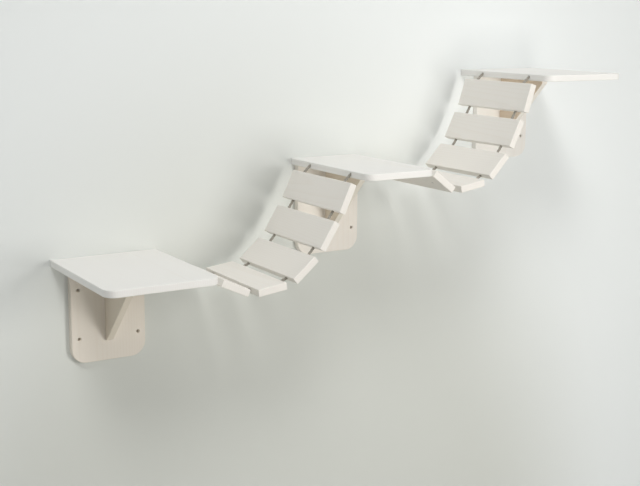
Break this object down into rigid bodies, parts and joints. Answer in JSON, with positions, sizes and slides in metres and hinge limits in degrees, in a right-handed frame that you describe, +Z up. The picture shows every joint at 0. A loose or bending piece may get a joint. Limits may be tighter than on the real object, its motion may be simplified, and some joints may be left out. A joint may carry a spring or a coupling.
{
  "type": "wall-mounted cat ladder",
  "caption": "Wall-mounted cat ladder: shelves on wall plates with gussets, joined by rope bridges of wooden slats.",
  "frame": {"origin": "centre of the lower wall plate's back face, on the wall", "axes": "+X right along the wall, +Y into the wall, +Z up"},
  "size_m": [1.2225, 0.3, 0.5647],
  "materials": {
    "painted_pine": "white-washed, matt",
    "plate_pine": "white-washed, matt",
    "gusset_pine": "white-washed, matt",
    "slat_pine": "white-washed, matt",
    "dowel_wood": "bare beech",
    "rope": "twisted cord",
    "screw_steel": "zinc-plated"
  },
  "bodies": {
    "brackets": {"lower_shelf": "painted_pine", "lower_wall_plate": "plate_pine", "lower_gusset": "gusset_pine", "lower_dowels": "dowel_wood", "lower_gusset_screws": "screw_steel", "middle_shelf": "painted_pine", "middle_wall_plate": "plate_pine", "middle_gusset": "gusset_pine", "middle_dowels": "dowel_wood", "middle_gusset_screws": "screw_steel", "upper_shelf": "painted_pine", "upper_wall_plate": "plate_pine", "upper_gusset": "gusset_pine", "upper_dowels": "dowel_wood", "upper_gusset_screws": "screw_steel", "lower_bridge_low_knots": "rope", "lower_bridge_high_knots": "rope", "upper_bridge_low_knots": "rope", "upper_bridge_high_knots": "rope"},
    "lower_slat_1": {"lower_bridge_slat_1": "slat_pine", "lower_bridge_rope_1": "rope", "lower_bridge_pins_1": "screw_steel"},
    "lower_slat_2": {"lower_bridge_slat_2": "slat_pine", "lower_bridge_rope_2": "rope", "lower_bridge_pins_2": "screw_steel"},
    "lower_slat_3": {"lower_bridge_slat_3": "slat_pine", "lower_bridge_rope_3": "rope", "lower_bridge_pins_3": "screw_steel"},
    "lower_slat_4": {"lower_bridge_slat_4": "slat_pine", "lower_bridge_rope_4": "rope", "lower_bridge_pins_4": "screw_steel"},
    "lower_slat_5": {"lower_bridge_slat_5": "slat_pine", "lower_bridge_rope_5": "rope", "lower_bridge_pins_5": "screw_steel"},
    "upper_slat_1": {"upper_bridge_slat_1": "slat_pine", "upper_bridge_rope_1": "rope", "upper_bridge_pins_1": "screw_steel"},
    "upper_slat_2": {"upper_bridge_slat_2": "slat_pine", "upper_bridge_rope_2": "rope", "upper_bridge_pins_2": "screw_steel"},
    "upper_slat_3": {"upper_bridge_slat_3": "slat_pine", "upper_bridge_rope_3": "rope", "upper_bridge_pins_3": "screw_steel"},
    "upper_slat_4": {"upper_bridge_slat_4": "slat_pine", "upper_bridge_rope_4": "rope", "upper_bridge_pins_4": "screw_steel"},
    "upper_slat_5": {"upper_bridge_slat_5": "slat_pine", "upper_bridge_rope_5": "rope", "upper_bridge_pins_5": "screw_steel"}
  },
  "joints": [
    {"name": "lower_rope_bend_5", "type": "hinge", "parent": "brackets", "child": "lower_slat_5", "pos_m": [0.42275, -0.157, 0.26772], "axis": [0, 1, 0], "range_deg": [-1.9, 1.9]},
    {"name": "lower_rope_bend_4", "type": "hinge", "parent": "lower_slat_5", "child": "lower_slat_4", "pos_m": [0.3837, -0.157, 0.19566], "axis": [0, 1, 0], "range_deg": [-2.1, 2.1]},
    {"name": "lower_rope_bend_3", "type": "hinge", "parent": "lower_slat_4", "child": "lower_slat_3", "pos_m": [0.33825, -0.157, 0.12697], "axis": [0, 1, 0], "range_deg": [-10, 10]},
    {"name": "lower_rope_bend_2", "type": "hinge", "parent": "lower_slat_3", "child": "lower_slat_2", "pos_m": [0.27415, -0.157, 0.07633], "axis": [0, 1, 0], "range_deg": [-5.6, 5.6]},
    {"name": "lower_rope_bend_1", "type": "hinge", "parent": "lower_slat_2", "child": "lower_slat_1", "pos_m": [0.19271, -0.157, 0.06703], "axis": [0, 1, 0], "range_deg": [-3.2, 3.2]},
    {"name": "upper_rope_bend_5", "type": "hinge", "parent": "brackets", "child": "upper_slat_5", "pos_m": [0.88285, -0.157, 0.45088], "axis": [0, 1, 0], "range_deg": [-1.7, 1.7]},
    {"name": "upper_rope_bend_4", "type": "hinge", "parent": "upper_slat_5", "child": "upper_slat_4", "pos_m": [0.8511, -0.157, 0.37609], "axis": [0, 1, 0], "range_deg": [-2.8, 2.8]},
    {"name": "upper_rope_bend_3", "type": "hinge", "parent": "upper_slat_4", "child": "upper_slat_3", "pos_m": [0.81308, -0.157, 0.303], "axis": [0, 1, 0], "range_deg": [-10, 10]},
    {"name": "upper_rope_bend_2", "type": "hinge", "parent": "upper_slat_3", "child": "upper_slat_2", "pos_m": [0.75525, -0.157, 0.24488], "axis": [0, 1, 0], "range_deg": [-5.2, 5.2]},
    {"name": "upper_rope_bend_1", "type": "hinge", "parent": "upper_slat_2", "child": "upper_slat_1", "pos_m": [0.67489, -0.157, 0.23042], "axis": [0, 1, 0], "range_deg": [-2.9, 2.9]}
  ],
  "couplings": [
    {"joint": "lower_rope_bend_5", "follows": "lower_rope_bend_3", "ratio": -0.18524},
    {"joint": "lower_rope_bend_4", "follows": "lower_rope_bend_3", "ratio": -0.2036},
    {"joint": "lower_rope_bend_2", "follows": "lower_rope_bend_3", "ratio": -0.55405},
    {"joint": "lower_rope_bend_1", "follows": "lower_rope_bend_3", "ratio": -0.311},
    {"joint": "upper_rope_bend_5", "follows": "upper_rope_bend_3", "ratio": -0.16035},
    {"joint": "upper_rope_bend_4", "follows": "upper_rope_bend_3", "ratio": -0.27023},
    {"joint": "upper_rope_bend_2", "follows": "upper_rope_bend_3", "ratio": -0.51204},
    {"joint": "upper_rope_bend_1", "follows": "upper_rope_bend_3", "ratio": -0.289}
  ]
}
